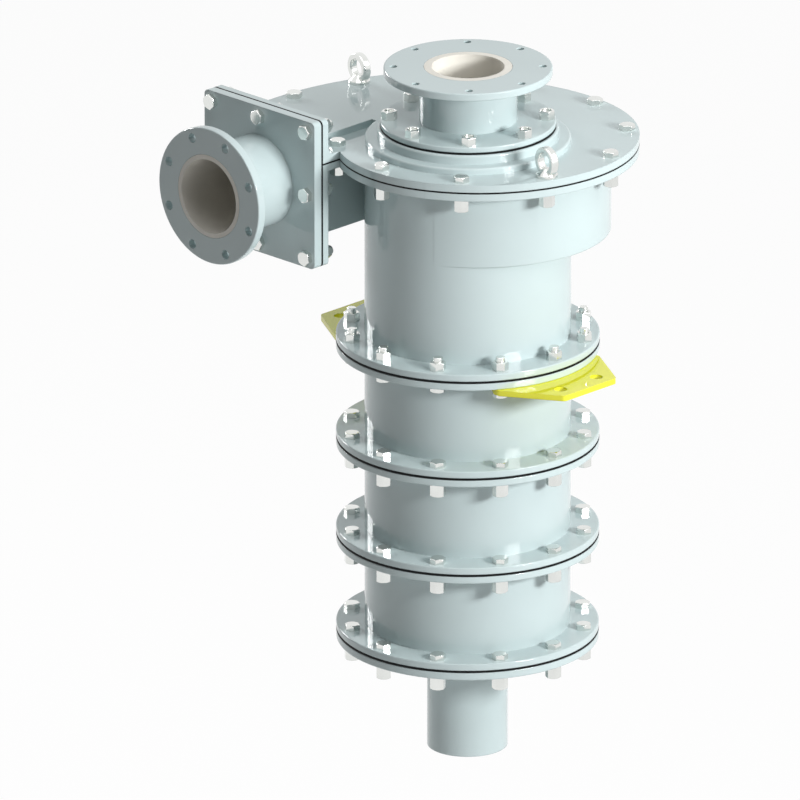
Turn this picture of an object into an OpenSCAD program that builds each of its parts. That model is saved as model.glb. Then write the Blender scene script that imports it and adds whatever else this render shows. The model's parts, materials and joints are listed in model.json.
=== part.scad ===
/* [Shell] */
// Outside diameter of the head and barrel shells
shell_d = 355.6; // [320:0.1:420]
// Wall of the head and barrel shells
shell_wall = 6; // [4:0.5:10]
// Radial width of the round flanges beyond the shell
flange_w = 49; // [44:0.5:60]
// Thickness of the round flanges
flange_t = 13; // [10:0.5:20]
// Rounding of the flanges' rims
rim_r = 2.5; // [1:0.25:4]
// Distance from a flange's rim to the centre of its bolts
bolt_inset = 20.5; // [18:0.5:24]
// Bolts round each barrel joint
joint_bolts = 12; // [8:1:16]
// Thickness of the flat joint gaskets
gasket_t = 3; // [2:0.5:5]
// Length of one barrel between its flange faces
barrel_h = 173; // [150:1:240]

/* [Underflow] */
// Thickness of the bottom plate
bottom_t = 14; // [12:1:20]
// Outside diameter of the underflow pipe
underflow_d = 139.7; // [120:0.1:170]
// Wall of the underflow pipe
underflow_wall = 6; // [4:0.5:8]
// Length of the underflow pipe below the bottom plate
underflow_drop = 200; // [150:1:260]
// Bore of the spigot lining
spigot_d = 80; // [60:1:96]
// Width of the lip that seats each lining in its flange
lip_w = 14; // [8:0.5:16]
// Thickness of the lip that seats each lining in its flange
lip_t = 6; // [4:0.5:8]

/* [Inlet head] */
// Height of the head between its flange faces
head_h = 341; // [320:1:420]
// Depth of the scroll floor below the head's top
floor_z = 150; // [131:1:181]
// Thickness of the lining in the head
head_lining = 12; // [8:0.5:16]
// How much the front arc of the scroll is larger than the shell
front_grow = 54.5; // [45:0.5:60]
// How much the side arc of the scroll is larger than the shell
side_grow = 39.9; // [34:0.1:44]
// How much the rear arc of the scroll is larger than the shell
rear_grow = 103.5; // [95:0.5:112]
// How much the arc that runs into the duct is larger than the shell
duct_grow = 228; // [220:1:240]
// How far the duct's near wall lies inside the shell's tangent line
duct_nip = 3.8; // [3:0.1:8]
// Distance from the main axis to the end of the duct
duct_reach = 218.5; // [210:0.5:260]
// Length of the taper from the round feed to the wide duct
feed_taper = 70; // [40:1:90]

/* [Lid] */
// Width of the lid's bolting strip beyond the scroll wall
strip_w = 48; // [44:0.5:56]
// Thickness of the lid
lid_t = 13; // [10:0.5:18]
// Height of the raised duct roof above the lid
roof_rise = 12; // [10:0.5:20]
// Thickness of the raised duct roof
roof_t = 10; // [8:0.5:12]
// Radius of the raised ring round the collar
ring_r = 176.5; // [175:0.5:190]
// How far the duct roof runs past the main axis
roof_run = 150; // [120:1:170]
// How far the fill between the raised ring and the duct roof runs towards the feed
web_run = 58; // [50:1:70]
// Radius of the collar under the overflow flange
collar_r = 156; // [150:0.5:165]
// Height of the collar above the raised ring
collar_h = 16; // [14:0.5:24]
// Rounding of the raised ring's and the collar's top edges
collar_edge = 4; // [1:0.25:6]
// Radius of the root fillet behind the duct's end plate
root_r = 14; // [8:0.5:20]
// Distance from the duct's end to its nearest far bolt
end_bolt_gap = 34; // [30:1:44]
// Distance from the duct's end to the bolt in the lid's near corner
ear_bolt_gap = 50; // [40:1:60]
// Thickness of the lining under the lid
lid_lining = 10; // [6:0.5:14]

/* [Overflow] */
// Outside diameter of the overflow neck
neck_d = 168.3; // [160:0.1:180]
// Wall of the overflow neck
neck_wall = 8; // [5:0.5:9]
// Bore of the overflow lining and the vortex finder
overflow_bore = 125; // [100:1:130]
// Diameter of the cover flange
cover_d = 302; // [296:1:310]
// Thickness of the cover flange
cover_t = 10; // [8:0.5:16]
// Diameter of the circle of studs in the cover flange
stud_circle = 270; // [262:1:272]
// Studs round the cover flange
studs = 8; // [6:1:10]
// Length of the neck between its two flanges
neck_h = 81; // [60:1:140]
// Diameter of the overflow flange
overflow_flange_d = 290; // [270:1:320]
// Thickness of the overflow flange
overflow_flange_t = 14; // [10:0.5:20]
// Diameter of the overflow flange's hole circle
overflow_circle = 256; // [236:1:260]
// Diameter of the overflow flange's holes
overflow_hole = 13; // [10:0.5:18]
// Holes in the overflow flange
overflow_holes = 8; // [4:4:12]
// Outside diameter of the vortex finder's tube
finder_d = 160; // [150:1:170]
// Diameter of the vortex finder's seating rim
finder_rim_d = 236; // [220:1:240]
// Thickness of the vortex finder's seating rim
finder_rim_t = 12; // [8:0.5:14]
// How far the vortex finder hangs below the lid
finder_drop = 190; // [150:1:240]

/* [Feed] */
// Distance of the feed's centre line from the main axis
feed_y = 253; // [250:0.5:256]
// Depth of the feed's centre line below the head's top
feed_z = 52; // [49:0.5:56]
// Side of the square end plates
plate_w = 265; // [262:1:275]
// Corner radius of the square end plates
plate_r = 9; // [4:0.5:12]
// Thickness of the duct's end plate
back_plate_t = 13; // [10:0.5:18]
// Thickness of the feed gasket
feed_gasket_t = 4; // [2:0.5:5]
// Thickness of the feed spool's square plate
front_plate_t = 17; // [12:0.5:22]
// Distance from the feed's centre line to the rows of plate bolts
plate_bolt = 114; // [112:0.5:116]
// Length of the feed spool between its faces
spool_len = 140; // [120:1:220]
// Outside diameter of the feed pipe
feed_d = 161; // [154:0.5:168]
// Wall of the feed pipe
feed_wall = 6.5; // [4:0.5:8]
// Thickness of the feed lining
feed_lining = 8; // [6:0.5:10]
// Diameter of the feed flange
feed_flange_d = 242; // [236:1:260]
// Thickness of the feed flange
feed_flange_t = 17; // [12:0.5:24]
// Diameter of the feed flange's hole circle
feed_circle = 208; // [204:1:214]
// Diameter of the feed flange's holes
feed_hole = 17; // [12:0.5:18]
// Holes in the feed flange
feed_holes = 8; // [4:4:12]

/* [Brackets] */
// Thickness of a bracket
bracket_t = 10; // [8:0.5:16]
// Distance from the main axis to a bracket's outer edge
bracket_reach = 294; // [280:1:340]
// Width of a bracket's outer edge
bracket_tip_w = 126; // [116:1:140]
// Width of a bracket at the flange's rim
bracket_root_w = 246; // [236:1:280]
// Width of a bracket's inner edge
bracket_inner_w = 220; // [212:1:260]
// Distance from the main axis to a bracket's wide corners
bracket_root_y = 195.5; // [190:0.5:204]
// Distance from the main axis to the inner end of a bracket's straight sides
bracket_mid_y = 182; // [176:1:188]
// Distance from the main axis to a bracket's inner edge
bracket_inner_y = 164; // [150:1:167]
// Distance between the holes of one bracket
bracket_hole_gap = 87; // [70:1:90]
// Distance from the main axis to the bracket holes
bracket_hole_y = 265; // [256:1:268]
// Diameter of the bracket holes
bracket_hole = 22; // [16:1:24]
// Rounding of a bracket's outer corners
bracket_edge = 10; // [4:0.5:14]

/* [Fasteners] */
// Thread diameter of the bolts and studs
bolt_d = 16; // [12:1:18]
// Distance across the flats of heads and nuts
hex_af = 24; // [20:0.5:27]
// Height of a bolt head
head_t = 10; // [8:0.5:12]
// Height of a nut
nut_t = 15.5; // [10:0.5:18]
// Height of the long nuts under the lid and the lower joints
long_nut_t = 24; // [18:0.5:28]
// Depth of a stud's or bolt's end inside its nut, where no thread stands out
thread_sink = 3; // [1:0.5:5]
// Length of thread that stands out of a plain nut
thread_end = 8; // [3:0.5:12]
// Outer radius of a lifting eye's ring
eye_r = 26; // [22:0.5:30]
// Radial thickness of a lifting eye's ring
eye_bar = 10.5; // [8:0.5:13]
// Depth of a lifting eye's ring along its own axis
eye_depth = 15; // [10:0.5:18]
// Rounding of the edges of a lifting eye's ring
eye_edge = 3; // [1:0.25:4]
// Radius of a lifting eye's collar
eye_collar_r = 19; // [14:0.5:20]
// Height of a lifting eye's collar
eye_collar_t = 5; // [3:0.5:8]
// Chamfer at the end of a thread
thread_chamfer = 1; // [0.5:0.25:2]

/* [Fits] */
// Clearance between a lining or thread and what holds it
fit = 0.3; // [0.2:0.05:0.6]
// How much larger a bolt hole is than its bolt
hole_play = 2; // [1:0.5:3]
// Gap between a bracket and the shell it stands round
bracket_gap = 2; // [1:0.5:4]

/* [Hidden] */
$fn = 96;

paint = [0.72, 0.80, 0.82];
yellow = [0.90, 0.88, 0.16];
zinc = [0.80, 0.80, 0.78];
cream = [0.90, 0.88, 0.80];
black = [0.12, 0.13, 0.14];

// Overlap of two shapes that are joined in one piece, and overrun of a cut
over = 1;
// A length beyond everything, for cuts and halves
far = 1000;
// Angle between neighbouring points of the scroll
arc_step = 2.5;
// How far outside the round shell the scroll's second arc starts
arc_lead = 0.2;
// Steps in the rounding of a bracket's corner
corner_steps = 5;
// Facets of the small roundings
edge_fn = 24;

// Heights of the stack, from the open end of the underflow pipe up
bottom_z = underflow_drop;
joint_4_z = bottom_z + bottom_t;
pitch = barrel_h + gasket_t;
lower_z = joint_4_z + gasket_t;
middle_z = lower_z + pitch;
upper_z = middle_z + pitch;
joint_3_z = middle_z - gasket_t;
joint_2_z = upper_z - gasket_t;
joint_1_z = upper_z + barrel_h;
head_z = joint_1_z + gasket_t;
head_top = head_z + head_h;
scroll_z = head_top - floor_z;
lid_z = head_top + gasket_t;
lid_top = lid_z + lid_t;
roof_top = lid_top + roof_rise;
collar_top = roof_top + collar_h;
cover_z = collar_top + gasket_t;
neck_z = cover_z + cover_t;
overflow_z = neck_z + neck_h;
overflow_top = overflow_z + overflow_flange_t;

// Radii
shell_r = shell_d / 2;
bore_r = shell_r - shell_wall;
flange_r = shell_r + flange_w;
joint_circle_r = flange_r - bolt_inset;
lined_r = bore_r - fit - head_lining;
spigot_r = spigot_d / 2;
pipe_bore_r = underflow_d / 2 - underflow_wall;
hole_r = (bolt_d + hole_play) / 2;
hex_face_r = hex_af * 0.475;

// The feed's places along X, from the duct's end outwards
plate_face_x = -duct_reach - back_plate_t;
// The duct's walls, roof and flanges run this far into its end plate
root_x = -duct_reach - over;
spool_x = plate_face_x - feed_gasket_t;
feed_x = spool_x - spool_len;
axis_z = head_top - feed_z;
feed_bore_r = feed_d / 2 - feed_wall - fit - feed_lining;

// The scroll is a chain of arcs, each tangent to the next at its end angle
ARC_GROW = [0, front_grow, side_grow, rear_grow, duct_grow];
ARC_END = [205.2, 272, 350, 415, 450];
function arc_centre(i) = i == 0
    ? [0, 0]
    : arc_centre(i - 1)
        - (ARC_GROW[i] - ARC_GROW[i - 1]) * [cos(ARC_END[i - 1]), sin(ARC_END[i - 1])];
duct_far_y = arc_centre(4)[1] + shell_r + duct_grow;
duct_near_y = shell_r - duct_nip;

// Lid bolts, as an arc of the scroll and an angle on it; the lifting eyes take two of the places
LID_BOLTS = [
    [0, 178.6], [1, 217.9], [2, 285.7], [2, 319.3],
    [3, 352.9], [3, 380.7], [3, 408.4], [4, 448]
];
EYES = [[1, 251], [4, 430]];
lid_bolt_out = strip_w - bolt_inset;
ear_edge_y = feed_y - plate_w / 2;
ear_bolt_y = (duct_near_y + ear_edge_y) / 2;
LID_PLACES = concat(
    [for (b = LID_BOLTS) arc_point(b[0], b[1], lid_bolt_out)],
    [[end_bolt_gap - duct_reach, duct_far_y + lid_bolt_out], [ear_bolt_gap - duct_reach, ear_bolt_y]]
);
EYE_PLACES = [for (e = EYES) arc_point(e[0], e[1], lid_bolt_out)];
// Direction in which both lifting eyes are turned
eye_turn = 80;

// Plate bolts: the corners and the middles of the sides
PLATE_PLACES = [
    for (y = [-1, 0, 1], z = [-1, 0, 1])
        if (y != 0 || z != 0) [feed_y + y * plate_bolt, axis_z + z * plate_bolt]
];

function arc_point(i, angle, grow) =
    arc_centre(i) + (shell_r + ARC_GROW[i] + grow) * [cos(angle), sin(angle)];

// The points of one arc of the scroll after its first
function arc_points(i, from, grow) =
    let (n = ceil((ARC_END[i] - from) / arc_step))
    [for (k = [1:n]) arc_point(i, from + (ARC_END[i] - from) * k / n, grow)];

// The lining's cone runs from the head's bore down to the spigot's
function cone_r(z) = spigot_r + (lined_r - spigot_r) * (z - joint_4_z) / (head_z - joint_4_z);

// A point stands on the raised roof if it lies beyond the duct's near wall
function rest_z(p) = p[1] > duct_near_y && p[0] < roof_run ? roof_top : lid_top;

// How far a lid bolt or eye reaches down from its seat, to just short of its nut's lower face
function lid_reach(p) = rest_z(p) - head_top + flange_t + long_nut_t - thread_sink;

// Flat shapes

module rounded_square(w, r) {
    square([w - 2 * r, w], center = true);
    square([w, w - 2 * r], center = true);
    for (x = [-1, 1], y = [-1, 1]) translate([x * (w / 2 - r), y * (w / 2 - r)]) circle(r);
}

module rounded_bar(w, h, r) {
    square([w - 2 * r, h], center = true);
    square([w, h - 2 * r], center = true);
    for (x = [-1, 1], y = [-1, 1]) translate([x * (w / 2 - r), y * (h / 2 - r)]) circle(r, $fn = edge_fn);
}

// The scroll and its duct seen from above, moved outwards by grow, with the duct's near side at near_y.
// The round shell is the scroll's first arc. The second starts a hair outside it, so that the two cross
// squarely. A near side that passes outside the shell ends in a nose beside the main axis.
module scroll_area(grow, near_y, end_x = -duct_reach) {
    circle(shell_r + grow);
    polygon(concat(
        [[end_x, near_y], [0, near_y], [0, 0], arc_point(0, ARC_END[0], grow + arc_lead)],
        arc_points(1, ARC_END[0], grow),
        arc_points(2, ARC_END[1], grow),
        arc_points(3, ARC_END[2], grow),
        arc_points(4, ARC_END[3], grow),
        [[end_x, duct_far_y + grow]]
    ));
}

module strip_area() {
    scroll_area(strip_w, ear_edge_y, root_x);
}

// The raised roof over the duct, and the fill between it and the ring round the collar
module roof_area() {
    circle(collar_r);
    intersection() {
        strip_area();
        translate([root_x, duct_near_y]) square([roof_run - root_x, far]);
    }
    intersection() {
        circle(ring_r + flange_t);
        translate([-web_run, 0]) square([2 * web_run, duct_near_y + over]);
    }
}

// A round disc from z = 0 up, with both edges of its rim rounded
module flange(r, h, edge = rim_r) {
    rotate_extrude() {
        square([r - edge, h]);
        translate([r / 2, edge]) square([r / 2, h - 2 * edge]);
        for (z = [edge, h - edge]) translate([r - edge, z]) circle(edge, $fn = edge_fn);
    }
}

// Fasteners, with their seat at z = 0 and their shank pointing down. A nut stands on z = 0

module hex_body(h) {
    intersection() {
        cylinder(d = hex_af / cos(30), h = h, $fn = 6);
        cylinder(r1 = hex_face_r + h * tan(60), r2 = hex_face_r, h = h);
    }
}

module bolt(reach) {
    hex_body(head_t);
    translate([0, 0, thread_chamfer - reach]) cylinder(d = bolt_d, h = reach - thread_chamfer + over);
    translate([0, 0, -reach]) cylinder(d1 = bolt_d - 2 * thread_chamfer, d2 = bolt_d, h = thread_chamfer);
}

module nut(h) {
    difference() {
        hex_body(h);
        translate([0, 0, -over]) cylinder(r = bolt_d / 2 + fit, h = h + 2 * over);
    }
}

module lifting_eye(reach) {
    cylinder(r = eye_collar_r, h = eye_collar_t);
    translate([0, 0, eye_collar_t - over])
        cylinder(r1 = eye_collar_r - over, r2 = eye_depth / 2, h = eye_bar);
    translate([0, 0, eye_r + over]) rotate([90, 0, 0]) rotate_extrude()
        translate([eye_r - eye_bar / 2, 0]) rounded_bar(eye_bar, eye_depth, eye_edge);
    translate([0, 0, -reach]) cylinder(d = bolt_d, h = reach + over);
}

// Heads and nuts stand at odd angles, as hands leave them
module at_joint(z) {
    for (i = [0:joint_bolts - 1])
        rotate(i * 360 / joint_bolts) translate([joint_circle_r, 0, z]) rotate(i * 17) children();
}

module joint_holes(z, h) {
    for (i = [0:joint_bolts - 1])
        rotate(i * 360 / joint_bolts) translate([joint_circle_r, 0, z - over])
            cylinder(r = hole_r, h = h + 2 * over);
}

module at_plate(x) {
    for (p = PLATE_PLACES)
        translate([x, p[0], p[1]]) rotate([0, -90, 0]) rotate(p[0] * 7 + p[1] * 3) children();
}

module plate_holes(x0, x1) {
    for (p = PLATE_PLACES)
        translate([x0, p[0], p[1]]) rotate([0, 90, 0]) cylinder(r = hole_r, h = x1 - x0);
}

module lid_holes(z, h) {
    for (p = concat(LID_PLACES, EYE_PLACES))
        translate([p[0], p[1], z]) cylinder(r = hole_r, h = h);
}

module at_studs(z) {
    for (i = [0:studs - 1])
        rotate(i * 360 / studs) translate([stud_circle / 2, 0, z]) rotate(i * 23) children();
}

// Feed side

module along_feed(x) {
    translate([x, feed_y, axis_z]) rotate([0, 90, 0]) children();
}

module square_plate(x, t) {
    translate([x, feed_y, axis_z]) rotate([90, 0, 90]) linear_extrude(t) rounded_square(plate_w, plate_r);
}

module feed_spool() {
    color(paint) difference() {
        union() {
            square_plate(spool_x - front_plate_t, front_plate_t);
            along_feed(feed_x + over) cylinder(d = feed_d, h = spool_len - 2 * over);
            along_feed(feed_x) flange(feed_flange_d / 2, feed_flange_t);
        }
        along_feed(feed_x - over) cylinder(d = feed_d - 2 * feed_wall, h = spool_len + 2 * over);
        plate_holes(spool_x - front_plate_t - over, spool_x + over);
        for (i = [0:feed_holes - 1])
            along_feed(feed_x - over) rotate((i + 0.5) * 360 / feed_holes)
                translate([feed_circle / 2, 0, 0]) cylinder(d = feed_hole, h = feed_flange_t + 2 * over);
    }
}

module feed_liner() {
    color(cream) difference() {
        along_feed(feed_x) cylinder(r = feed_bore_r + feed_lining, h = spool_len);
        along_feed(feed_x - over) cylinder(r = feed_bore_r, h = spool_len + 2 * over);
    }
}

module feed_gasket() {
    color(black) difference() {
        square_plate(spool_x, feed_gasket_t);
        along_feed(spool_x - over) cylinder(r = feed_bore_r, h = feed_gasket_t + 2 * over);
        plate_holes(spool_x - over, plate_face_x + over);
    }
}

module feed_bolts() {
    grip = front_plate_t + feed_gasket_t + back_plate_t;
    color(zinc) at_plate(spool_x - front_plate_t) bolt(grip + nut_t + thread_end);
}

module feed_nuts() {
    color(zinc) at_plate(-duct_reach) mirror([0, 0, 1]) nut(nut_t);
}

// Inlet head and its lining

module head_body() {
    translate([0, 0, head_z]) flange(flange_r, flange_t);
    translate([0, 0, head_z]) cylinder(r = shell_r, h = scroll_z - head_z + over);
    translate([0, 0, scroll_z]) linear_extrude(floor_z) scroll_area(0, duct_near_y, root_x);
    translate([0, 0, head_top - flange_t]) linear_extrude(flange_t) strip_area();
    intersection() {
        square_plate(plate_face_x, back_plate_t);
        translate([-far, -far, 0]) cube([far, 2 * far, head_top]);
    }
}

// The chamber and duct inside walls of a given thickness, out past the end of the duct
module chamber(wall) {
    translate([0, 0, scroll_z + wall]) linear_extrude(head_h)
        scroll_area(-wall, duct_near_y + wall, plate_face_x - over);
}

module inlet_head() {
    color(paint) difference() {
        head_body();
        translate([0, 0, head_z - over]) cylinder(r = bore_r, h = head_h);
        chamber(shell_wall);
        joint_holes(head_z, flange_t);
        lid_holes(head_top - flange_t - over, flange_t + 2 * over);
        plate_holes(plate_face_x - over, -duct_reach + over);
    }
}

module head_liner() {
    out = shell_wall + fit;
    in = out + head_lining;
    color(cream) difference() {
        union() {
            translate([0, 0, head_z]) cylinder(r = shell_r - out, h = scroll_z - head_z + out);
            translate([0, 0, scroll_z + out]) linear_extrude(floor_z - out)
                scroll_area(-out, duct_near_y + out, plate_face_x);
        }
        translate([0, 0, head_z - over]) cylinder(r = lined_r, h = head_h);
        chamber(in);
        along_feed(plate_face_x - over)
            cylinder(r1 = feed_bore_r, r2 = feed_bore_r - head_lining, h = feed_taper);
    }
}

// Lid and its lining

module root_fillet(y0, y1, z) {
    translate([-duct_reach, y1, z]) rotate([90, 0, 0]) linear_extrude(y1 - y0) difference() {
        translate([-over, -over]) square(root_r + over);
        translate([root_r, root_r]) circle(root_r);
    }
}

// The duct's hollow in the underside of the lid, narrowed by wall, with its top lowered by drop
module roof_hollow(wall, drop, x0) {
    high = roof_top - roof_t - drop;
    low = lid_z - 2 * lid_lining;
    slope_end = roof_run / 2;
    intersection() {
        translate([0, far, 0]) rotate([90, 0, 0]) linear_extrude(far - duct_near_y - wall)
            polygon([[x0, low], [x0, high], [0, high], [slope_end, lid_z - drop], [slope_end, low]]);
        translate([0, 0, low]) linear_extrude(far) scroll_area(-wall, duct_near_y + wall, x0);
    }
}

module lid() {
    color(paint) difference() {
        union() {
            translate([0, 0, lid_z]) linear_extrude(lid_t) strip_area();
            translate([0, 0, lid_top - over]) linear_extrude(roof_rise + over) roof_area();
            translate([0, 0, lid_top - collar_edge]) flange(ring_r, roof_rise + collar_edge, collar_edge);
            translate([0, 0, roof_top - collar_edge]) flange(collar_r, collar_h + collar_edge, collar_edge);
            intersection() {
                square_plate(plate_face_x, back_plate_t);
                translate([-far, -far, lid_z]) cube([far, 2 * far, far]);
            }
            root_fillet(ear_edge_y, duct_near_y, lid_top);
            root_fillet(duct_near_y, duct_far_y, roof_top);
        }
        roof_hollow(shell_wall, 0, plate_face_x - over);
        translate([0, 0, lid_z - over]) cylinder(r = finder_d / 2 + fit, h = far);
        translate([0, 0, collar_top - finder_rim_t]) cylinder(r = finder_rim_d / 2 + fit, h = far);
        lid_holes(lid_z - over, lid_t + roof_rise + 2 * over);
        at_studs(lid_top) cylinder(r = bolt_d / 2 + fit, h = far);
        plate_holes(plate_face_x - over, -duct_reach + over);
    }
}

// A flat plate under the lid, and a strip that lines the duct's hollow in the lid
module lid_liner() {
    edge = shell_wall + head_lining + 2 * fit;
    color(cream) difference() {
        union() {
            translate([0, 0, lid_z - lid_lining]) linear_extrude(lid_lining) difference() {
                scroll_area(-edge, duct_near_y + edge);
                circle(finder_d / 2 + fit);
            }
            intersection() {
                roof_hollow(shell_wall + fit, 0, plate_face_x);
                translate([-far, 0, lid_z]) cube([2 * far, far, far]);
            }
        }
        roof_hollow(shell_wall, lid_lining, plate_face_x - over);
    }
}

module lid_gasket() {
    edge = shell_wall + head_lining;
    color(black) translate([0, 0, head_top]) linear_extrude(gasket_t) difference() {
        union() {
            strip_area();
            translate([plate_face_x, ear_edge_y]) square([back_plate_t + over, plate_w]);
        }
        scroll_area(-edge, duct_near_y + edge, plate_face_x - over);
        for (p = concat(LID_PLACES, EYE_PLACES)) translate(p) circle(hole_r);
    }
}

module lid_bolts() {
    color(zinc) for (p = LID_PLACES)
        translate([p[0], p[1], rest_z(p)]) rotate(p[0] * 3 + p[1])
            bolt(lid_reach(p));
}

module lid_nuts() {
    color(zinc) for (p = concat(LID_PLACES, EYE_PLACES))
        translate([p[0], p[1], head_top - flange_t]) rotate(p[0] * 5 + p[1]) mirror([0, 0, 1])
            nut(long_nut_t);
}

module lifting_eyes() {
    color(zinc) for (p = EYE_PLACES)
        translate([p[0], p[1], rest_z(p)]) rotate(eye_turn)
            lifting_eye(lid_reach(p));
}

// Overflow side

module vortex_finder() {
    color(cream) difference() {
        union() {
            translate([0, 0, collar_top - finder_rim_t]) cylinder(d = finder_rim_d, h = finder_rim_t);
            translate([0, 0, lid_z - finder_drop])
                cylinder(d = finder_d, h = collar_top - lid_z + finder_drop - over);
        }
        translate([0, 0, lid_z - finder_drop - over]) cylinder(d = overflow_bore, h = far);
    }
}

module overflow_gasket() {
    color(black) difference() {
        translate([0, 0, collar_top]) cylinder(d = cover_d, h = gasket_t);
        translate([0, 0, collar_top - over]) cylinder(d = overflow_bore, h = gasket_t + 2 * over);
        at_studs(collar_top - over) cylinder(r = hole_r, h = gasket_t + 2 * over);
    }
}

module overflow_spool() {
    color(paint) difference() {
        union() {
            translate([0, 0, cover_z]) flange(cover_d / 2, cover_t);
            translate([0, 0, cover_z + over]) cylinder(d = neck_d, h = overflow_top - cover_z - 2 * over);
            translate([0, 0, overflow_z]) flange(overflow_flange_d / 2, overflow_flange_t);
        }
        translate([0, 0, cover_z - over]) cylinder(d = neck_d - 2 * neck_wall, h = far);
        at_studs(cover_z - over) cylinder(r = hole_r, h = cover_t + 2 * over);
        for (i = [0:overflow_holes - 1])
            rotate(i * 360 / overflow_holes) translate([overflow_circle / 2, 0, overflow_z - over])
                cylinder(d = overflow_hole, h = overflow_flange_t + 2 * over);
    }
}

module overflow_liner() {
    color(cream) difference() {
        translate([0, 0, cover_z]) cylinder(r = neck_d / 2 - neck_wall - fit, h = overflow_top - cover_z);
        translate([0, 0, cover_z - over]) cylinder(d = overflow_bore, h = far);
    }
}

module overflow_studs() {
    h = neck_z + nut_t - thread_sink - lid_top;
    color(zinc) at_studs(lid_top) {
        cylinder(d = bolt_d, h = h - thread_chamfer);
        translate([0, 0, h - thread_chamfer])
            cylinder(d1 = bolt_d, d2 = bolt_d - 2 * thread_chamfer, h = thread_chamfer);
    }
}

module overflow_nuts() {
    color(zinc) at_studs(neck_z) nut(nut_t);
}

// Barrels, cone linings and the joints between them

module barrel(z) {
    color(paint) difference() {
        union() {
            translate([0, 0, z]) flange(flange_r, flange_t);
            translate([0, 0, z + over]) cylinder(r = shell_r, h = barrel_h - 2 * over);
            translate([0, 0, z + barrel_h - flange_t]) flange(flange_r, flange_t);
        }
        translate([0, 0, z - over]) cylinder(r = bore_r, h = barrel_h + 2 * over);
        translate([0, 0, z + barrel_h - lip_t]) cylinder(r = bore_r + lip_w, h = lip_t + over);
        joint_holes(z, flange_t);
        joint_holes(z + barrel_h - flange_t, flange_t);
    }
}

module cone_liner(z) {
    top = z + barrel_h;
    color(cream) rotate_extrude() polygon([
        [cone_r(z), z],
        [bore_r - fit, z],
        [bore_r - fit, top - lip_t],
        [bore_r + lip_w - fit, top - lip_t],
        [bore_r + lip_w - fit, top],
        [cone_r(top), top]
    ]);
}

module joint_gasket(z) {
    color(black) difference() {
        translate([0, 0, z]) cylinder(r = flange_r, h = gasket_t);
        translate([0, 0, z - over]) cylinder(r = cone_r(z), h = gasket_t + 2 * over);
        joint_holes(z, gasket_t);
    }
}

// A joint's bolts, with their heads on its upper flange and nuts under a lower flange of thickness low_t
module joint_bolts_down(z, low_t) {
    high = z + gasket_t + flange_t;
    color(zinc) at_joint(high) bolt(high - z + low_t + long_nut_t - thread_sink);
}

module joint_nuts_down(z, low_t) {
    color(zinc) at_joint(z - low_t) mirror([0, 0, 1]) nut(long_nut_t);
}

// The brackets take the bolts that stand nearest to each side
function bracket_at(i) = abs(sin(i * 360 / joint_bolts)) > sin(50) ? bracket_t : 0;

// The bolts that also carry the brackets point up, with their heads below
module support_bolts() {
    reach = 2 * flange_t + gasket_t + nut_t + thread_end;
    color(zinc) for (i = [0:joint_bolts - 1])
        rotate(i * 360 / joint_bolts) translate([joint_circle_r, 0, joint_1_z - flange_t - bracket_at(i)])
            rotate(i * 17) mirror([0, 0, 1]) bolt(reach + bracket_at(i));
}

module support_nuts() {
    color(zinc) at_joint(joint_1_z + gasket_t + flange_t) nut(nut_t);
}

module discharge_plate() {
    color(paint) difference() {
        union() {
            translate([0, 0, bottom_z]) flange(flange_r, bottom_t);
            cylinder(d = underflow_d, h = bottom_z + over);
        }
        translate([0, 0, -over]) cylinder(r = pipe_bore_r, h = joint_4_z + 2 * over);
        translate([0, 0, joint_4_z - lip_t]) cylinder(r = pipe_bore_r + lip_w, h = lip_t + over);
        joint_holes(bottom_z, bottom_t);
    }
}

module spigot_liner() {
    out = pipe_bore_r - fit;
    color(cream) rotate_extrude() polygon([
        [spigot_r, 0],
        [out, 0],
        [out, joint_4_z - lip_t],
        [out + lip_w, joint_4_z - lip_t],
        [out + lip_w, joint_4_z],
        [spigot_r, joint_4_z]
    ]);
}

module bracket(side) {
    tip = bracket_tip_w / 2;
    root = bracket_root_w / 2;
    inner = bracket_inner_w / 2;
    // The outer corners are rounded from the outer edge's direction to the sides'
    lean = atan2(root - tip, bracket_reach - bracket_root_y);
    centre = [tip - bracket_edge * (1 - sin(lean)) / cos(lean), bracket_reach - bracket_edge];
    corner = [for (k = [0:corner_steps])
        let (a = 90 + (lean - 90) * k / corner_steps) centre + bracket_edge * [cos(a), sin(a)]
    ];
    half = concat(corner, [[root, bracket_root_y], [root, bracket_mid_y], [inner, bracket_inner_y]]);
    color(yellow) translate([0, 0, joint_1_z - flange_t - bracket_t]) difference() {
        linear_extrude(bracket_t) rotate(side > 0 ? 0 : 180) difference() {
            polygon(concat(half, [for (k = [len(half) - 1:-1:0]) [-half[k][0], half[k][1]]]));
            circle(shell_r + bracket_gap);
        }
        for (x = [-1, 1]) translate([x * bracket_hole_gap / 2, side * bracket_hole_y, -over])
            cylinder(d = bracket_hole, h = bracket_t + 2 * over);
        joint_holes(0, bracket_t);
    }
}

feed_spool();
feed_liner();
feed_gasket();
feed_bolts();
feed_nuts();
inlet_head();
head_liner();
lid();
lid_liner();
lid_gasket();
lid_bolts();
lid_nuts();
lifting_eyes();
vortex_finder();
overflow_gasket();
overflow_spool();
overflow_liner();
overflow_studs();
overflow_nuts();
barrel(upper_z);  // upper_barrel
barrel(middle_z);  // middle_barrel
barrel(lower_z);  // lower_barrel
cone_liner(upper_z);  // upper_cone_liner
cone_liner(middle_z);  // middle_cone_liner
cone_liner(lower_z);  // lower_cone_liner
joint_gasket(joint_1_z);  // joint_1_gasket
joint_gasket(joint_2_z);  // joint_2_gasket
joint_gasket(joint_3_z);  // joint_3_gasket
joint_gasket(joint_4_z);  // joint_4_gasket
support_bolts();  // joint_1_bolts
joint_bolts_down(joint_2_z, flange_t);  // joint_2_bolts
joint_bolts_down(joint_3_z, flange_t);  // joint_3_bolts
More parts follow.
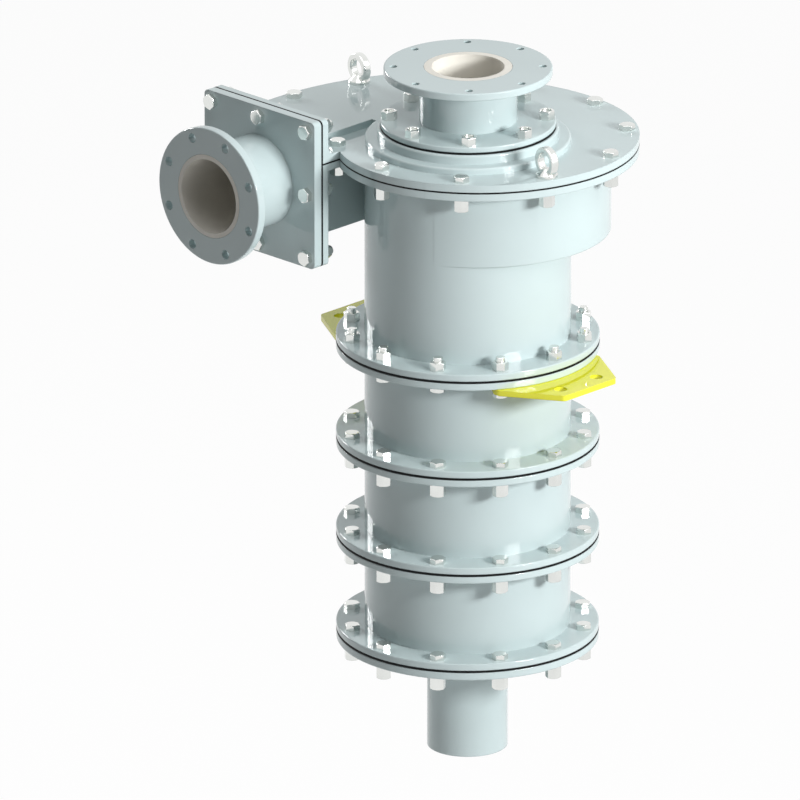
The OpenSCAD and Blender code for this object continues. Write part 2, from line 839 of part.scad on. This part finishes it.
joint_bolts_down(joint_4_z, bottom_t);  // joint_4_bolts
support_nuts();  // joint_1_nuts
joint_nuts_down(joint_2_z, flange_t);  // joint_2_nuts
joint_nuts_down(joint_3_z, flange_t);  // joint_3_nuts
joint_nuts_down(joint_4_z, bottom_t);  // joint_4_nuts
discharge_plate();
spigot_liner();
bracket(-1);  // right_bracket
bracket(1);  // left_bracket
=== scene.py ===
"""A hydrocyclone gravity separator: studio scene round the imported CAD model."""
import json
import math

import bpy
import numpy as np
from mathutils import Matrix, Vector
from mathutils.kdtree import KDTree

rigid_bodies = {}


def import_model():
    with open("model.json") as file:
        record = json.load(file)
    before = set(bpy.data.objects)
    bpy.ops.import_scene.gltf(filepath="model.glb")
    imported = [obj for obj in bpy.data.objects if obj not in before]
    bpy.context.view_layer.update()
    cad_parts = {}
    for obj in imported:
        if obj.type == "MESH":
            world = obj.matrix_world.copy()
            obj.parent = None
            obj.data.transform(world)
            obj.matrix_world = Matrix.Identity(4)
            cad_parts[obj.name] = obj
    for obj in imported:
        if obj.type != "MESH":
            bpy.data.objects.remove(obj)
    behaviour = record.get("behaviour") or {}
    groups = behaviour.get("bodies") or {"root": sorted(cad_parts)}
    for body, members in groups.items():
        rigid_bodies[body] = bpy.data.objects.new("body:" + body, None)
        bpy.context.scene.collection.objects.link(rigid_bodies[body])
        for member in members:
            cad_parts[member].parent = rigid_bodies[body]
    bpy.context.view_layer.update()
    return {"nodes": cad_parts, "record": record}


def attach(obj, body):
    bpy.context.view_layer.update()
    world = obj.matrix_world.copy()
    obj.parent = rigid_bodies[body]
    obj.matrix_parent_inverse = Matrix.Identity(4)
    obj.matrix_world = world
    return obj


# The photograph's view, from between the feed's face (-X) and the -Y side. The azimuth counts from
# -Y, and the view's centre and width are in metres
VIEW_AZIMUTH = math.radians(-45.5)
VIEW_ELEVATION = math.radians(20)
VIEW_CENTRE = Vector((-0.0824, 0.0824, 0.6308))
VIEW_WIDTH = 1.376

# Lens and sensor in millimetres: the lens is long enough for an almost parallel view
LENS = 1000.0
SENSOR = 36.0
# Nearest and farthest distance that the camera sees, in metres
CLIP = (0.1, 200)

# The floor lies well below the open end of the pipe, because the part hangs from its brackets
FLOOR_DROP = 0.6
FLOOR_SIZE = 60.0
FLOOR_ROUGHNESS = 0.9
FLOOR_NOISE = 0.6
FLOOR_DARK, FLOOR_GREY, FLOOR_LIGHT = ((v, v, v, 1) for v in (0.79, 0.8, 0.81))
# Share of the floor that is plain white to the camera and in reflections; the rest shows shadows
FLOOR_WHITE = 0.96

# The world's strength as light on surfaces; the camera and reflections see it at full strength
WORLD_LIGHT = 0.12
# Name, degrees to the camera's right, degrees up, distance, width and height in metres, power in W
LAMPS = (
    ("key", 51, 20, 4.5, 1.4, 0.7, 180),
    ("fill", 60, 45, 4.0, 2.4, 2.0, 38),
    ("top", 0, 85, 3.5, 2.5, 2.5, 34),
    ("rim", -141, 20, 4.0, 1.2, 0.9, 55),
)

# Radius to which edges are rounded in shading, in metres: paint, zinc and lining, gasket
EDGE_ROUND = 0.0025
FINE_EDGE = 0.0012
GASKET_EDGE = 0.0006
BEVEL_SAMPLES = 6
# The specular level of rubber and lining
MATT_SPECULAR = 0.15
# A noise texture's values lie mostly between these
NOISE_LOW, NOISE_HIGH = 0.3, 0.7

# Faces that meet at less than this angle are shaded soft
SMOOTH_ANGLE = math.radians(32)
# Points closer than this are shaded as one, in metres
SEAM_GAP = 0.0003
# Points are matched on a grid of this many steps to the metre
GRID = 1e6
# A sum of normals shorter than this has no direction
NO_LENGTH = 1e-12

# Bolt groups with open thread ends, and the axis along which the bolts lie: 0 is X, 2 is Z
THREADED = (("joint_1", 2), ("feed", 0))
# A bolt and a nut are a pair where their centre lines lie this close, in metres
PAIR_GAP = 0.002
BOLT_RADIUS = 0.008
THREAD_PITCH = 0.002
THREAD_DEPTH = 0.0004
# Steps in one turn of the ridge
THREAD_STEPS = 20
# Pitches from the lower side of an open end to its ridge, and pitches that carry none in all
THREAD_START = 0.4
THREAD_PLAIN = 0.75
# The ridge's profile: place along the bolt in pitches, height over the bolt in thread depths
RIDGE = ((-0.42, -0.1), (0.0, 1.0), (0.42, -0.1))


def srgb(r, g, b):
    """A colour given as display values from 0 to 255, in linear values."""
    def linear(v):
        v /= 255
        return v / 12.92 if v <= 0.04045 else ((v + 0.055) / 1.055) ** 2.4
    return linear(r), linear(g), linear(b), 1.0


PAINT = srgb(192, 207, 208)
YELLOW = srgb(232, 230, 52)
ZINC = srgb(228, 230, 227)
CREAM = srgb(236, 233, 224)
BLACK = srgb(20, 21, 22)


# Node materials

class Shader:
    """One material with a Principled shader, and short calls that add nodes to it."""

    def __init__(self, name, color, roughness, metallic=0.0):
        self.material = bpy.data.materials.new(name)
        self.material.use_nodes = True
        self.tree = self.material.node_tree
        self.shader = self.tree.nodes["Principled BSDF"]
        self.shader.inputs["Base Color"].default_value = color
        self.shader.inputs["Roughness"].default_value = roughness
        self.shader.inputs["Metallic"].default_value = metallic
        self.coords = self.add("ShaderNodeTexCoord").outputs["Object"]

    def add(self, kind, **settings):
        node = self.tree.nodes.new(kind)
        for key, value in settings.items():
            setattr(node, key, value)
        return node

    def join(self, source, target):
        self.tree.links.new(source, target)

    def noise(self, scale, detail=3.0, stretch=None):
        node = self.add("ShaderNodeTexNoise")
        node.inputs["Scale"].default_value = scale
        node.inputs["Detail"].default_value = detail
        source = self.coords
        if stretch:
            mapping = self.add("ShaderNodeMapping")
            mapping.inputs["Scale"].default_value = stretch
            self.join(self.coords, mapping.inputs["Vector"])
            source = mapping.outputs["Vector"]
        self.join(source, node.inputs["Vector"])
        return node.outputs["Fac"]

    def spread(self, source, low, high):
        """A texture's middle range as values from low to high."""
        node = self.add("ShaderNodeMapRange")
        node.inputs["From Min"].default_value = NOISE_LOW
        node.inputs["From Max"].default_value = NOISE_HIGH
        node.inputs["To Min"].default_value = low
        node.inputs["To Max"].default_value = high
        self.join(source, node.inputs["Value"])
        return node.outputs["Result"]

    def tint(self, source, dark, light):
        """Base colour between two colours, by a texture."""
        node = self.add("ShaderNodeMix", data_type="RGBA")
        node.inputs["A"].default_value = dark
        node.inputs["B"].default_value = light
        self.join(self.spread(source, 0.0, 1.0), node.inputs["Factor"])
        self.join(node.outputs["Result"], self.shader.inputs["Base Color"])

    def rough(self, source, low, high):
        self.join(self.spread(source, low, high), self.shader.inputs["Roughness"])

    def relief(self, source, depth, strength, edge=EDGE_ROUND):
        """Bump by a texture over edges that are rounded in shading."""
        bevel = self.add("ShaderNodeBevel", samples=BEVEL_SAMPLES)
        bevel.inputs["Radius"].default_value = edge
        bump = self.add("ShaderNodeBump")
        bump.inputs["Distance"].default_value = depth
        bump.inputs["Strength"].default_value = strength
        self.join(source, bump.inputs["Height"])
        self.join(bevel.outputs["Normal"], bump.inputs["Normal"])
        self.join(bump.outputs["Normal"], self.shader.inputs["Normal"])


def shade(color, factor):
    return (*(min(1.0, c * factor) for c in color[:3]), 1.0)


def gloss_paint(name, color):
    """Sprayed enamel: a clear gloss over a faint orange peel and slow changes of tone."""
    m = Shader(name, color, roughness=0.3)
    m.shader.inputs["Specular IOR Level"].default_value = 0.0
    m.shader.inputs["Coat Weight"].default_value = 1.0
    m.shader.inputs["Coat Roughness"].default_value = 0.02
    m.tint(m.noise(scale=5.0, detail=4.0), dark=shade(color, 0.97), light=shade(color, 1.02))
    m.rough(m.noise(scale=28.0, detail=5.0), low=0.25, high=0.36)
    m.relief(m.noise(scale=160.0, detail=2.0), depth=0.00006, strength=0.15)
    return m.material


def zinc_metal():
    """Bright plated steel with fine turning marks and a cloudy sheen."""
    m = Shader("zinc_plate", ZINC, roughness=0.16, metallic=1.0)
    m.tint(m.noise(scale=25.0, detail=3.0), dark=shade(ZINC, 0.95), light=shade(ZINC, 1.03))
    m.rough(m.noise(scale=90.0, detail=3.0), low=0.13, high=0.2)
    marks = m.noise(scale=500.0, detail=2.0, stretch=(1.0, 1.0, 3.0))
    m.relief(marks, depth=0.00003, strength=0.3, edge=FINE_EDGE)
    return m.material


def gasket_rubber():
    """Matt black sheet rubber with a fine grain."""
    m = Shader("gasket_sheet", BLACK, roughness=0.62)
    m.shader.inputs["Specular IOR Level"].default_value = MATT_SPECULAR
    m.tint(m.noise(scale=90.0, detail=4.0), dark=shade(BLACK, 0.7), light=shade(BLACK, 1.5))
    m.rough(m.noise(scale=300.0, detail=3.0), low=0.52, high=0.72)
    m.relief(m.noise(scale=1500.0, detail=2.0), depth=0.0001, strength=0.4, edge=GASKET_EDGE)
    return m.material


def cream_lining():
    """Moulded wear lining: matt cream with a soft cloudy tone."""
    m = Shader("wear_lining", CREAM, roughness=0.5)
    m.shader.inputs["Specular IOR Level"].default_value = MATT_SPECULAR
    m.tint(m.noise(scale=14.0, detail=5.0), dark=shade(CREAM, 0.9), light=shade(CREAM, 1.04))
    m.rough(m.noise(scale=70.0, detail=4.0), low=0.42, high=0.6)
    m.relief(m.noise(scale=420.0, detail=3.0), depth=0.00015, strength=0.45, edge=FINE_EDGE)
    return m.material


# CAD nodes

def mesh_points(mesh):
    points = np.zeros(len(mesh.vertices) * 3)
    mesh.vertices.foreach_get("co", points)
    return points.reshape(-1, 3)


def distinct(points):
    """The distinct points in steps of the grid, and the number of each point among them."""
    steps = np.round(points * GRID).astype(np.int64)
    spots, numbers = np.unique(steps, axis=0, return_inverse=True)
    return spots, numbers.ravel()


def shared_places(points):
    """For each point the number of its place, where places a hair apart count as one."""
    spots, spot_of = distinct(points)
    spots = spots / GRID
    tree = KDTree(len(spots))
    for i, spot in enumerate(spots):
        tree.insert(spot, i)
    tree.balance()
    near = np.array([min(i for _, i, _ in tree.find_range(spot, SEAM_GAP)) for spot in spots])
    return near[spot_of]


def blend_hairs(places, normals):
    """Gives a face thinner than the seam gap the normals of the wide face along its long edge."""
    count = places.max() + 1
    thin = np.array([len(set(row)) == 2 for row in places.tolist()])
    wide = np.flatnonzero(~thin)
    keys = {}
    for a, b in ((0, 1), (1, 2), (2, 0)):
        low = np.minimum(places[wide, a], places[wide, b])
        high = np.maximum(places[wide, a], places[wide, b])
        keys.update(zip((low * count + high).tolist(), wide.tolist()))
    for face in np.flatnonzero(thin):
        low, high = sorted(set(places[face].tolist()))
        neighbour = keys.get(low * count + high)
        if neighbour is None:
            continue
        for corner in range(3):
            match = np.flatnonzero(places[neighbour] == places[face, corner])[0]
            normals[face, corner] = normals[neighbour, match]


def smooth_by_angle(mesh):
    """Shades soft across shallow edges and crisp across steep ones, with no point moved."""
    faces = len(mesh.polygons)
    loops = len(mesh.loops)
    normals = np.zeros(faces * 3)
    mesh.polygons.foreach_get("normal", normals)
    normals = normals.reshape(-1, 3)
    areas = np.zeros(faces)
    mesh.polygons.foreach_get("area", areas)
    corners = np.zeros(loops, int)
    mesh.loops.foreach_get("vertex_index", corners)
    place_of = shared_places(mesh_points(mesh))[corners]
    face_of = np.repeat(np.arange(faces), 3)
    order = np.argsort(place_of, kind="stable")
    ends = np.flatnonzero(np.diff(place_of[order])) + 1
    limit = math.cos(SMOOTH_ANGLE)
    result = np.zeros((loops, 3))
    for group in np.split(order, ends):
        n = normals[face_of[group]]
        near = (n @ n.T > limit) * areas[face_of[group]]
        result[group] = near @ n
    lengths = np.linalg.norm(result, axis=1, keepdims=True)
    unit = result / np.maximum(lengths, NO_LENGTH)
    result = np.where(lengths > NO_LENGTH, unit, normals[face_of])
    blend_hairs(place_of.reshape(-1, 3), result.reshape(-1, 3, 3))
    mesh.polygons.foreach_set("use_smooth", np.ones(faces, bool))
    mesh.normals_split_custom_set(result.tolist())


def dress(nodes, subparts, looks):
    for row in subparts:
        node = nodes[row["node"]]
        node.data.materials.clear()
        node.data.materials.append(looks[row["material_slot"]])
        smooth_by_angle(node.data)


def solids(node):
    """The box of each separate solid of a CAD node, as (lowest, highest) corners."""
    mesh = node.data
    points = mesh_points(mesh)
    _, place = distinct(points)
    # Joined places take the lowest label among them, until nothing changes
    label = np.arange(place.max() + 1)
    edges = np.array([[e.vertices[0], e.vertices[1]] for e in mesh.edges])
    a, b = place[edges[:, 0]], place[edges[:, 1]]
    while True:
        low = np.minimum(label[a], label[b])
        before = label.copy()
        np.minimum.at(label, a, low)
        np.minimum.at(label, b, low)
        label = label[label]
        if (label == before).all():
            break
    found = []
    for value in np.unique(label):
        chosen = points[label[place] == value]
        found.append((Vector(chosen.min(0)), Vector(chosen.max(0))))
    return found


# Threads

def open_ends(bolts, nuts, axis):
    """The stretch of each bolt that stands out of its nut: start, end and the bolt's centre."""
    across = [i for i in range(3) if i != axis]
    found = []
    for low, high in bolts:
        centre = (low + high) / 2
        for nut_low, nut_high in nuts:
            nut_centre = (nut_low + nut_high) / 2
            if any(abs(centre[i] - nut_centre[i]) > PAIR_GAP for i in across):
                continue
            if high[axis] > nut_high[axis] > low[axis] and centre[axis] < nut_centre[axis]:
                found.append((nut_high[axis], high[axis], centre))
            if low[axis] < nut_low[axis] < high[axis] and centre[axis] > nut_centre[axis]:
                found.append((low[axis], nut_low[axis], centre))
    return found


def thread_points(start, end, centre, axis):
    """Rows of points of a screw ridge wound round a bolt's end."""
    turns = max(1, int((end - start) / THREAD_PITCH - THREAD_PLAIN))
    steps = turns * THREAD_STEPS
    rows = []
    for k in range(steps + 1):
        angle = 2 * math.pi * k / THREAD_STEPS
        along = start + THREAD_PITCH * (THREAD_START + k / THREAD_STEPS)
        fade = min(1.0, k / THREAD_STEPS, (steps - k) / THREAD_STEPS)
        row = []
        for side, height in RIDGE:
            r = BOLT_RADIUS + THREAD_DEPTH * (height * fade if height > 0 else height)
            u, v = r * math.cos(angle), r * math.sin(angle)
            w = along + side * THREAD_PITCH
            row.append((w, centre[1] + u, centre[2] + v) if axis == 0
                       else (centre[0] + u, centre[1] + v, w))
        rows.append(row)
    return rows


def add_threads(name, ends, axis, look):
    """One mesh with a screw ridge on each bolt end in the list."""
    points, faces = [], []
    for start, end, centre in ends:
        rows = thread_points(start, end, centre, axis)
        base = len(points)
        for row in rows:
            points.extend(row)
        for k in range(len(rows) - 1):
            i = base + 3 * k
            faces.append((i, i + 1, i + 4, i + 3))
            faces.append((i + 1, i + 2, i + 5, i + 4))
    mesh = bpy.data.meshes.new(name)
    mesh.from_pydata(points, [], faces)
    mesh.polygons.foreach_set("use_smooth", np.ones(len(faces), bool))
    mesh.materials.append(look)
    piece = bpy.data.objects.new(name, mesh)
    bpy.context.scene.collection.objects.link(piece)
    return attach(piece, "root")


# Studio

def view_frame():
    """Level directions to the camera and to its right."""
    back = Vector((math.sin(VIEW_AZIMUTH), -math.cos(VIEW_AZIMUTH), 0))
    right = Vector((math.cos(VIEW_AZIMUTH), math.sin(VIEW_AZIMUTH), 0))
    return back, right


def raised(flat, angle):
    """A level direction turned up by an angle."""
    return flat * math.cos(angle) + Vector((0, 0, math.sin(angle)))


def aim(thing, toward, distance):
    """Puts a camera or lamp in a direction from the view's centre, and turns it to look back."""
    thing.location = VIEW_CENTRE + toward * distance
    thing.rotation_mode = "QUATERNION"
    thing.rotation_quaternion = (-toward).to_track_quat("-Z", "Y")
    bpy.context.scene.collection.objects.link(thing)


def add_camera():
    back, _ = view_frame()
    data = bpy.data.cameras.new("camera")
    data.lens = LENS
    data.sensor_width = SENSOR
    data.clip_start, data.clip_end = CLIP
    camera = bpy.data.objects.new("camera", data)
    aim(camera, raised(back, VIEW_ELEVATION), VIEW_WIDTH * LENS / SENSOR)
    bpy.context.scene.camera = camera


def add_panel(name, turn, rise, distance, width, height, power):
    """A soft rectangular lamp, turned to the camera's right and raised by angles in degrees."""
    back, right = view_frame()
    turn, rise = math.radians(turn), math.radians(rise)
    flat = back * math.cos(turn) + right * math.sin(turn)
    data = bpy.data.lights.new(name, "AREA")
    data.shape = "RECTANGLE"
    data.size, data.size_y = width, height
    data.energy = power
    lamp = bpy.data.objects.new(name, data)
    lamp.visible_camera = False
    aim(lamp, raised(flat, rise), distance)


def backdrop_share(tree):
    """1 for what the camera, a reflection or a refraction sees, else 0."""
    path = tree.nodes.new("ShaderNodeLightPath")
    total = path.outputs["Is Camera Ray"]
    for name in ("Is Glossy Ray", "Is Transmission Ray"):
        node = tree.nodes.new("ShaderNodeMath")
        node.operation = "MAXIMUM"
        tree.links.new(total, node.inputs[0])
        tree.links.new(path.outputs[name], node.inputs[1])
        total = node.outputs[0]
    return total


def add_world(light):
    """A white world that the camera and reflections see in full, and that lights only faintly."""
    world = bpy.data.worlds.new("studio")
    bpy.context.scene.world = world
    world.use_nodes = True
    tree = world.node_tree
    shader = tree.nodes["Background"]
    shader.inputs["Color"].default_value = (1, 1, 1, 1)
    strength = tree.nodes.new("ShaderNodeMapRange")
    strength.inputs["To Min"].default_value = light
    strength.inputs["To Max"].default_value = 1.0
    tree.links.new(backdrop_share(tree), strength.inputs["Value"])
    tree.links.new(strength.outputs["Result"], shader.inputs["Strength"])


def add_floor():
    """A pale floor that stays white to the camera but for the part's shadow."""
    half = FLOOR_SIZE / 2
    mesh = bpy.data.meshes.new("floor")
    corners = [(-half, -half), (half, -half), (half, half), (-half, half)]
    mesh.from_pydata([(x, y, -FLOOR_DROP) for x, y in corners], [], [(0, 1, 2, 3)])
    m = Shader("floor_card", FLOOR_GREY, FLOOR_ROUGHNESS)
    m.tint(m.noise(FLOOR_NOISE), FLOOR_DARK, FLOOR_LIGHT)
    glow = m.add("ShaderNodeEmission")
    glow.inputs["Strength"].default_value = 1.0
    mix = m.add("ShaderNodeMixShader")
    share = m.add("ShaderNodeMath", operation="MULTIPLY")
    share.inputs[1].default_value = FLOOR_WHITE
    m.join(backdrop_share(m.tree), share.inputs[0])
    m.join(share.outputs[0], mix.inputs["Fac"])
    m.join(m.shader.outputs["BSDF"], mix.inputs[1])
    m.join(glow.outputs["Emission"], mix.inputs[2])
    m.join(mix.outputs["Shader"], m.tree.nodes["Material Output"].inputs["Surface"])
    mesh.materials.append(m.material)
    floor = bpy.data.objects.new("floor", mesh)
    bpy.context.scene.collection.objects.link(floor)


def clear_scene():
    for thing in list(bpy.data.objects):
        bpy.data.objects.remove(thing)


def main():
    clear_scene()
    bpy.context.scene.view_settings.view_transform = "Standard"
    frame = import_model()
    looks = {
        "painted_steel": gloss_paint("blue_grey_enamel", PAINT),
        "bracket_paint": gloss_paint("yellow_enamel", YELLOW),
        "zinc_steel": zinc_metal(),
        "gasket_rubber": gasket_rubber(),
        "lining": cream_lining(),
    }
    nodes = frame["nodes"]
    dress(nodes, frame["record"]["subparts"], looks)
    for group, axis in THREADED:
        bolts, nuts = solids(nodes[group + "_bolts"]), solids(nodes[group + "_nuts"])
        add_threads(group + "_threads", open_ends(bolts, nuts, axis), axis, looks["zinc_steel"])
    add_camera()
    add_world(WORLD_LIGHT)
    add_floor()
    for lamp in LAMPS:
        add_panel(*lamp)


main()
